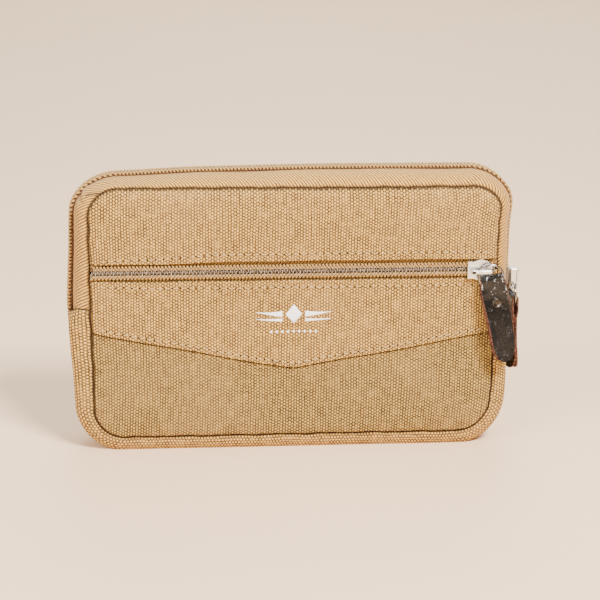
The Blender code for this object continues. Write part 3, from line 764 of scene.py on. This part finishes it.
def coil_row(kind, row, place, start, end, side):
    """One half of the chain. Each tooth is a wire loop: up from the tape edge, over to the
    middle, round its head past the centre line and back below; teeth of the two halves lie
    half a pitch apart. Two short lock stitches cross every loop, and a cord fills the row."""
    s = np.arange(start + 0.8 + 0.25 * side * TOOTH_PITCH, end - 0.8, TOOTH_PITCH)[:, None]
    b = np.array([2.2, 2.3, 2.1, 1.4, 0.6, 0.0, -0.40, -0.44, 0.0, 0.8, 1.6])
    c = np.array([0.9, 1.2, 1.5, 1.6, 1.7, 1.65, 1.4, 1.0, 0.75, 0.7, 0.7])
    wire = np.array([0.37, 0.37, 0.37, 0.35, 0.3, 0.27, 0.27, 0.27, 0.3, 0.35, 0.35])
    lean = np.array([-0.2, -0.18, -0.1, 0.0, 0.0, 0.0, 0.08, 0.15, 0.25, 0.4, 0.5])
    teeth = tubes(stacked(s + lean, side * b, c), wire, 6, lead=(1, 0, 0))
    t = np.linspace(-1, 1, 6)
    swell = 0.42 * np.array([0.6, 0.95, 1.05, 1.05, 0.95, 0.6])
    outer = side * np.array([2.66, 2.62, 2.5, 2.32, 2.12, 1.95]), [1.15, 1.4, 1.65, 1.83, 1.93, 1.95]
    inner = side * np.array([1.95, 1.78, 1.6, 1.42, 1.25, 1.1]), [2.0, 1.98, 1.95, 1.9, 1.82, 1.7]
    stitches = []
    for offset, (across, height) in ((0.0, outer), (TOOTH_PITCH / 2, inner)):
        path = stacked(s + offset + 0.24 * t, across, height)
        stitches.append(tubes(path, swell, 7, lead=(1, 0, 0)))
    line = np.linspace(start, end, int((end - start) / 1.0))
    # The cord is real; its dark colour is painted shade under the teeth.
    cord = tubes(stacked(line, side * 1.75, 0.85)[None], 0.6, 8)
    for part, (points, faces), finish, slot, replaced in (
        ("teeth", teeth, COIL, "coil", [f"{kind}_zip_{row}_coil"]),
        ("lock_stitches", joined(*stitches), CHAIN_THREAD, "zip_tape", ()),
        ("filler_cord", cord, SHADED_CORD, "zip_tape", ()),
    ):
        name = f"{kind}_{row}_coil_{part}"
        closed_piece(name, place(*points.T), faces, finish, "pouch", slot, replaced)


def pocket_tape(row, side):
    """A twill strip behind the window, standing up a little beside the chain."""
    s = np.linspace(-84.6, 84.6, 330)[:, None]
    b = side * np.array([0.7, 1.5, 2.6, 3.2, 4.5, 6.5, 9.4])
    lift = np.array([0.0, 0.0, 0.0, 0.12, 0.15, 0.1, 0.0])
    s, b, lift = np.broadcast_arrays(s, b, lift)
    points, faces = pocket_zip_place(s, b, lift), grid_faces(*s.shape, flip=side < 0)
    # Painted shade on the tape between the chain and the cloth folds over it.
    tucked = ramp(np.abs(b), 1.6, 2.8) * 0.5
    mesh = make_mesh(f"pocket_{row}_tape_twill", points, faces, stacked(s, b), tucked=tucked)
    thicken(place_piece(mesh, TWILL, "pouch", [f"pocket_zip_{row}_tape"]), 0.5)


def zips():
    last, reach = UPPER[2][-1] - 0.2, HALF - 0.5
    coil_row("main", "front", main_zip_place, 0.2, last, -1)
    coil_row("main", "back", main_zip_place, 0.2, last, 1)
    coil_row("pocket", "upper", pocket_zip_place, -reach, reach, 1)
    coil_row("pocket", "lower", pocket_zip_place, -reach, reach, -1)
    pocket_tape("upper", 1)
    pocket_tape("lower", -1)


# Sewing.


def stitch_row(name, place, end, pitch=3.3, length=2.55):
    """Lock stitches along place(s, lift): each is a short thread that rises from its hole,
    lies on the cloth and dips into the next hole, a shade shorter than the pitch."""
    rng = np.random.default_rng(len(name))
    s = np.arange(-end + pitch / 2, end - pitch / 2, pitch)
    jitter = rng.uniform(-0.12, 0.12, (2, s.size, 1))
    t = np.linspace(-1, 1, 7)
    along = s[:, None] + jitter[0] + t * length / 2
    lift = 0.17 - 0.42 * np.abs(t) ** 3 + 0 * along
    paths = place(along, lift)
    paths[..., 2] += 0.14 * jitter[1] * t * 6
    thick = 0.26 * np.array([0.5, 0.9, 1.0, 1.05, 1.0, 0.9, 0.5])
    closed_piece(name, *tubes(paths, thick, 6, lead=(0, 1, 0)), THREAD, "pouch", "canvas")
    # A dark disc at each needle hole between stitches: painted shade in the hole.
    holes = s[:-1] + pitch / 2
    angle = np.arange(8) / 8 * TURN
    ring_s = holes[:, None] + 0.42 * np.cos(angle)
    flat = place(ring_s, np.full_like(ring_s, 0.05))
    flat[..., 2] += 0.38 * np.sin(angle)
    faces = np.arange(8 * holes.size).reshape(-1, 8)
    place_piece(make_mesh(f"{name}_holes", flat, faces), NEEDLE_HOLE_SHADE, "pouch")


def sewing():
    """Rows on the front at the heights height(x), and one along each of the gusset's hems."""
    for name, end, height in (
        ("stitches_above_pocket_zip", 81, lambda s: upper_fold(s) + 2.9 - 1.5 * ramp(-s, 30, 80)),
        ("stitches_below_pocket_zip", 81, lambda s: lower_fold(s) - 2.9 + 0.6 * ramp(-s, 30, 80)),
        ("stitches_yoke", 82, lambda s: yoke_edge(s) + 1.9),
    ):

        def along_front(s, lift, height=height):
            return front_point(s, height(s), lift)

        stitch_row(name, along_front, end)
    for side in (-1, 1):
        end = 0 if side < 0 else LOWER[2][-1]

        def across_hem(s, lift, end=end, side=side):
            inward = end + side * (hem_slant(s) - 2.0)
            depth = np.clip((np.abs(s) - WALL_FLAT) / (WALL_EDGE_Y - WALL_FLAT), 0, 1)
            broad = WALL_RISE * np.sqrt(1 - depth**2)
            rise = hem_rise(s) + 0.26 * np.maximum(broad - hem_rise(s), 0)
            return wall_point(LOWER, inward, s, rise + lift + 0.45)

        stitch_row(f"stitches_hem_{'left' if side < 0 else 'right'}", across_hem, 11, 2.9, 2.3)


PRINT_X, PRINT_Z, INK_THICK = -0.6, 60.0, 0.05


def yoke_print():
    """The plain printed mark: a lozenge between two bars that taper away, over a row of dots.
    Each shape is a grid across which the half height falls to nothing at its ends."""
    shapes = []
    t = np.linspace(-1, 1, 25)[:, None]
    across = np.linspace(-1, 1, 5)

    def add(x, half_height, z):
        points = stacked(x, 0, z + across * half_height)
        shapes.append((points, grid_faces(t.size, across.size, flip=x[-1, 0] > x[0, 0])))

    add(PRINT_X + 3.4 * t, 4.2 * (1 - np.abs(t)) + 0.02, PRINT_Z)
    for side in (-1, 1):
        x = PRINT_X + side * (10.2 + 5.4 * t)
        add(x, 0.12 + 1.25 * (1 - (t + 1) / 2) ** 1.4, PRINT_Z + 0.9 * ((t + 1) / 2) ** 2)
        add(x, 0.1 + 0.55 * (1 - (t + 1) / 2), PRINT_Z - 2.6 + 0.5 * ((t + 1) / 2) ** 2)
    for k in range(9):
        dot_x = PRINT_X + 2.35 * (k - 4)
        add(dot_x + 0.62 * t, 0.62 * (1 - np.abs(t)) + 0.02, PRINT_Z - 7.6)
    points, faces = joined(*shapes)
    x, _, z = points.T
    mesh = make_mesh("yoke_print", front_point(x, z, 0.07), faces, stacked(x, z))
    thicken(place_piece(mesh, PRINT, "pouch"), INK_THICK)


# Sliders, rings and pulls.


POCKET_LEAN = 10


def pull_frame(name):
    """Origin and axes of a strap at rest: across, up and out, from its turning joint. The
    pocket strap leans over; the main one hangs straight."""
    origin = np.array(JOINTS[f"{name}_pull_turn"]["pos_m"]) / MM
    if name == "pocket":
        lean = math.radians(POCKET_LEAN)
        across = np.array([math.cos(lean), 0, math.sin(lean)])
        up = np.array([-math.sin(lean), 0, math.cos(lean)])
        return origin, across, up, np.array([0.0, -1.0, 0.0])
    x, y, z = np.eye(3)
    return origin, y, z, x


def to_world(frame_axes, u, v, w):
    origin, across, up, out = frame_axes
    return origin + u[..., None] * across + v[..., None] * up + w[..., None] * out


def refined(node, finish, body, width=0.22, widen=(1, 1, 1)):
    """A cast piece with its corners rolled over, and made wider about its middle."""
    bm = bmesh.new()
    bm.from_mesh(frame["nodes"][node].data)
    bmesh.ops.remove_doubles(bm, verts=bm.verts, dist=1e-6)
    bmesh.ops.dissolve_limit(bm, angle_limit=0.02, verts=bm.verts, edges=bm.edges)
    middle = Vector(sum(node_box(node)) / 2 * MM)
    bmesh.ops.translate(bm, verts=bm.verts, vec=-middle)
    bmesh.ops.scale(bm, verts=bm.verts, vec=widen)
    bmesh.ops.translate(bm, verts=bm.verts, vec=middle)
    mesh = bpy.data.meshes.new(f"{node}_cast")
    bm.to_mesh(mesh)
    bm.free()
    obj = place_piece(mesh, finish, body, [node])
    modifier = obj.modifiers.new("rolled corners", "BEVEL")
    modifier.width = width * MM
    modifier.segments = 3
    modifier.limit_method = "ANGLE"
    modifier.angle_limit = math.radians(35)
    mesh.shade_smooth()
    mesh.set_sharp_from_angle(angle=math.radians(40))


def slot_shadow_plug(name):
    """Painted shadow for the punched slot at the tail end of the crown's bar: a flat dark rounded
    plug, circle points pulled out to a rounded rectangle, one ring on the bar and one just over it."""
    low, high = node_box(f"{name}_slider_crown")
    a = np.arange(24) / 24 * TURN
    along = 0.85 * np.sign(np.cos(a)) * np.abs(np.cos(a)) ** 0.5
    across = 0.6 * np.sign(np.sin(a)) * np.abs(np.sin(a)) ** 0.5
    rings = []
    for lift, grow in ((-0.1, 1.0), (0.04, 1.0), (0.04, 0.02)):
        if name == "pocket":
            middle = (low[0] + 1.15, low[1] - lift, (low[2] + high[2]) / 2)
            turned = stacked(along * grow, 0, across * grow)
        else:
            middle = (high[0] + lift, 0.0, high[2] - 1.15)
            turned = stacked(0, across * grow, along * grow)
        rings.append(np.array(middle) + turned)
    points = np.stack(rings)
    faces = grid_faces(3, 24, round_columns=True).tolist()
    faces += [list(range(24)), list(range(48, 72))[::-1]]
    slider = f"{name}_slider"
    closed_piece(f"{name}_crown_slot_shadow", points, faces, SLOT_SHADOW, slider, "slider_metal")


def ring(name):
    """A closed wire circle: torus of the ring's mean radius and wire radius."""
    node, wire = f"{name}_pull_ring", 0.5
    low, high = node_box(node)
    centre = (low + high) / 2
    _, across, up, out = pull_frame(name)
    radius = (high[2] - low[2]) / 2 - wire
    a = np.arange(96) / 96 * TURN
    b = np.arange(14) / 14 * TURN
    reach = radius + wire * np.cos(b)[None, :]
    u, v = reach * np.cos(a)[:, None], reach * np.sin(a)[:, None]
    points = to_world((centre, across, up, out), u, v, wire * np.sin(b))
    faces = grid_faces(96, 14, round_rows=True, round_columns=True)
    body = f"{name}_ring"
    closed_piece(f"{name}_ring_wire", points, faces, RING_STEEL, body, "ring_wire", [node])


LEATHER_THICK = 0.9
FOLD_RADIUS, FOLD_V, LEAF_HALF_GAP = 1.13, -0.88, 0.6
STRAP_HALF, FOLD_HALF, POINT_LENGTH = 5.8, 4.9, 11.0
RIVET_V = -11.0


def strap_half(v, tip):
    widen = np.clip((FOLD_V - v) / 4, 0, 1)
    width = FOLD_HALF + (STRAP_HALF - FOLD_HALF) * widen
    point = np.clip(1 - (v - tip) / POINT_LENGTH, 0, 1)
    return width * np.sqrt(np.maximum(1 - 0.985 * point**2.6, 0.01))


def strap_bend(name, u, v, w, tip):
    """Twists a strap progressively from its fold to its tip, and lets its leaves part."""
    down = np.clip(v / tip, 0, 1)
    if name == "pocket":
        angle = math.radians(24) * ramp(down, -0.1, 0.7)
        w = w + 1.1 * ramp(down, 0.0, 0.6)
        splay = np.where(w < 0, -0.35, 0.0) * ramp(down, 0.5, 1.0)
        drift = 0.5 * down
        v = v + 0.09 * u * (1 - ramp(down, 0, 0.4))
    else:
        angle = math.radians(22) * np.where(w < 0, 1.0, 0.2) * ramp(down, 0.35, 1.0)
        splay = np.where(w < 0, 0.0, 1.2) * ramp(down, 0.35, 1.0) ** 1.5
        drift = -0.6 * down
    w = w + splay
    turned_u = u * np.cos(angle) + w * np.sin(angle)
    turned_w = w * np.cos(angle) - u * np.sin(angle)
    return turned_u + drift, v, turned_w


def strap(name, length):
    """One strip of hide, front tip up over the ring and down to the back tip. Its section is
    a flat oval with soft raw edges, carried along the strip's (height, depth) path."""
    tip = FOLD_V + FOLD_RADIUS + LEATHER_THICK / 2 - length
    heights = np.r_[np.linspace(FOLD_V, -9.2, 16), np.linspace(-9.8, tip + 2, 34)]
    heights = np.r_[heights, tip + 2 - 2 * np.sin(np.linspace(0.1, 1, 9) * math.pi / 2)]
    share = ramp(heights, -9.2, -6.0)
    depths = LEAF_HALF_GAP + (FOLD_RADIUS - LEAF_HALF_GAP) * share
    angle = np.linspace(0, math.pi, 15)[1:-1]
    v = np.r_[heights[::-1], FOLD_V + FOLD_RADIUS * np.sin(angle), heights]
    w = np.r_[depths[::-1], FOLD_RADIUS * np.cos(angle), -depths]
    run = unit(stacked(np.gradient(v), np.gradient(w)))
    half = strap_half(np.minimum(v, FOLD_V), tip)
    there, back = np.linspace(-0.97, 0.97, 17), np.linspace(0.97, -0.97, 13)
    across = np.r_[there, 1, 1.01, 1, back, -1, -1.01, -1]
    thick = np.r_[np.full(17, 0.5), 0.33, 0, -0.33, np.full(13, -0.5), -0.33, 0, 0.33]
    thick[0] = thick[16] = 0.44
    raw = np.r_[np.zeros(17), np.ones(19)]
    raw[0] = raw[16] = 0.55
    rng = np.random.default_rng(5 if name == "pocket" else 6)
    fray = rng.uniform(-0.11, 0.11, (len(v), len(across))) * (np.abs(across) > 0.98)
    u = half[:, None] * across + fray
    wave = 0.10 * np.sin(v / 3.1)[:, None] * (across**2)
    lift = LEATHER_THICK * thick + wave
    v = v[:, None] - run[:, 1:] * lift
    w = w[:, None] + run[:, :1] * lift
    points = to_world(pull_frame(name), *strap_bend(name, u, v, w, tip))
    first, *_, last = np.arange(u.size).reshape(u.shape)
    faces = [*grid_faces(*u.shape, round_columns=True), first, last[::-1]]
    raw, body, node = np.broadcast_to(raw, u.shape), f"{name}_pull", [f"{name}_pull_strap"]
    closed_piece(f"{name}_strap_hide", points, faces, LEATHER, body, "leather", node, raw=raw)
    strap_fibres(name, tip, rng)
    return tip


def strap_fibres(name, tip, rng):
    """Loose fibres at the raw edges: short hairs that start on an edge and curl away."""
    many = 110, 1
    side = rng.choice([-1.0, 1.0], many)
    start = rng.uniform(tip * 0.97, -3.0, many)
    leaf = rng.choice([-1.0, 1.0], many) * (LEAF_HALF_GAP + rng.uniform(-0.35, 0.35, many))
    t = np.linspace(0, 1, 5)
    reach = rng.uniform(0.25, 1.25, many)
    fall = rng.uniform(-1.3, 0.9, many)
    out = rng.uniform(-0.6, 0.6, many)
    u = side * (strap_half(start, tip) - 0.1 + reach * t * (1 - 0.35 * t))
    v = start + fall * t**1.6
    w = leaf + out * t**2
    paths = to_world(pull_frame(name), *strap_bend(name, u, v, w, tip))
    hair = 0.085 * np.array([1.2, 1.0, 0.8, 0.6, 0.35])
    hairs = tubes(paths, hair, 3, lead=(0.3, 0.5, 0.81))
    closed_piece(f"{name}_strap_fibres", *hairs, FIBRES, f"{name}_pull", "leather")


def rivet_piece(name, tip, side):
    """A turned head: a raised rim round a shallow dish in front, a plain dome behind. The
    profile's (radius, height) pairs are swept once round the rivet's axis."""
    face = LEAF_HALF_GAP + LEATHER_THICK / 2 + 0.02
    if side > 0:
        profile = [(0.0, 0.34), (0.8, 0.30), (1.2, 0.34), (1.35, 0.62), (1.62, 0.80), (1.9, 0.72)]
        profile += [(2.1, 0.42), (2.12, 0.1), (2.0, -0.1), (0.0, -0.1)]
    else:
        profile = [(0.0, 0.85), (0.7, 0.80), (1.4, 0.62), (1.9, 0.35), (2.1, 0.05), (2.0, -0.1)]
        profile += [(0.75, -0.1), (0.75, -1.9), (0.0, -1.9)]
    radius, height = np.array(profile).T
    a = np.arange(40) / 40 * TURN
    u = radius * np.cos(a)[:, None]
    v = RIVET_V + radius * np.sin(a)[:, None]
    w = side * (face + height)
    points = to_world(pull_frame(name), *strap_bend(name, u, v, w, tip))
    faces = grid_faces(40, len(radius), round_rows=True)
    head, node = ("cap", "cap") if side > 0 else ("pin", "post")
    head, node, body = f"{name}_rivet_{head}_turned", [f"{name}_rivet_{node}"], f"{name}_pull"
    closed_piece(head, points, faces, RIVET_METAL, body, "rivet", node, weld=True)


def pulls():
    for name, length in (("pocket", 38.0), ("main", 33.0)):
        # The main slider's body takes the darker nickel, painted shade.
        plate = SLIDER_NICKEL if name == "pocket" else SHADED_NICKEL
        refined(f"{name}_slider_body", plate, f"{name}_slider")
        wide = (1, 1, 1.4) if name == "pocket" else (1, 1.4, 1)
        refined(f"{name}_slider_crown", SLIDER_NICKEL, f"{name}_slider", 0.3, wide)
        slot_shadow_plug(name)
        ring(name)
        tip = strap(name, length)
        rivet_piece(name, tip, 1)
        rivet_piece(name, tip, -1)


# Inside.


def wadding(node):
    """A soft pad: two sheets that meet all round, each swelling as a high power of the
    distance from the middle falls away."""
    low, high = node_box(node)
    middle, half = (low + high) / 2, (high - low) / 2
    u = np.sin(np.linspace(-0.5, 0.5, 41) * math.pi)[None, :]
    v = np.sin(np.linspace(-0.5, 0.5, 31) * math.pi)[:, None]
    swell = np.sqrt(np.maximum((1 - u**8) * (1 - v**8), 0))
    sheets = []
    for side in (-1, 1):
        y = middle[1] + side * half[1] * swell
        sheet = stacked(middle[0] + half[0] * u, y, middle[2] + half[2] * v)
        sheets.append((sheet, grid_faces(31, 41, flip=side > 0)))
    name, shape = f"{node}_wadding", joined(*sheets)
    pad = closed_piece(name, *shape, FOAM, "pouch", "foam", [node], weld=True)


def inside():
    for node in ("back_padding", "divider_padding"):
        wadding(node)
    for node, obj in frame["nodes"].items():
        if "lining" in node or "divider" in node and "padding" not in node:
            obj.material_slots[0].material = LINING
        if "binding" in node:
            obj.material_slots[0].material = BINDING


# The set.


def studio():
    """A pale floor, a lamp high on the right, weaker ones on the left, overhead and behind."""
    far = 6.0
    corners = [(-far, -far, 0), (far, -far, 0), (far, far, 0), (-far, far, 0)]
    mesh = bpy.data.meshes.new("studio_floor")
    mesh.from_pydata(corners, [], [(0, 1, 2, 3)])
    mesh.materials.append(FLOOR)
    floor = new_object("studio_floor", mesh)
    for name, place, size, power in (
        ("key_lamp", (0.46, -0.88, 1.15), 0.42, 56.0),
        ("fill_lamp", (-1.0, -0.9, 0.8), 0.9, 26.0),
        ("top_lamp", (0.0, 0.25, 1.3), 0.8, 7.0),
        ("back_lamp", (0.2, 1.4, 0.9), 1.0, 18.0),
    ):
        lamp = bpy.data.lights.new(name, "AREA")
        lamp.size = size
        lamp.energy = power
        obj = new_object(name, lamp)
        obj.location = place
        toward = Vector((0, 0, 0.06)) - Vector(place)
        obj.rotation_euler = toward.to_track_quat("-Z", "Y").to_euler()
    world = bpy.data.worlds.new("studio")
    world.use_nodes = True
    background = world.node_tree.nodes["Background"]
    background.inputs["Color"].default_value = (1.0, 0.98, 0.95, 1.0)
    background.inputs["Strength"].default_value = 0.34
    bpy.context.scene.world = world


def camera():
    """A long lens slightly left of the middle and above it, rolled a little."""
    azimuth, elevation, roll = (math.radians(value) for value in (-6.7, 16.5, 1.1))
    target, distance = Vector((0.0036, 0, 0.0616)), 0.9
    run, height = math.cos(elevation), math.sin(elevation)
    back = Vector((math.sin(azimuth) * run, -math.cos(azimuth) * run, height))
    lens = bpy.data.cameras.new("camera")
    lens.sensor_width, lens.lens = 36, 127.8
    obj = new_object("camera", lens)
    obj.location = target + back * distance
    facing = (-back).to_track_quat("-Z", "Y").to_matrix()
    obj.rotation_euler = (facing @ Matrix.Rotation(roll, 3, Vector((0, 0, 1)))).to_euler()
    bpy.context.scene.camera = obj


camera()
studio()
front_faces()
side_wall()
zips()
sewing()
yoke_print()
pulls()
inside()
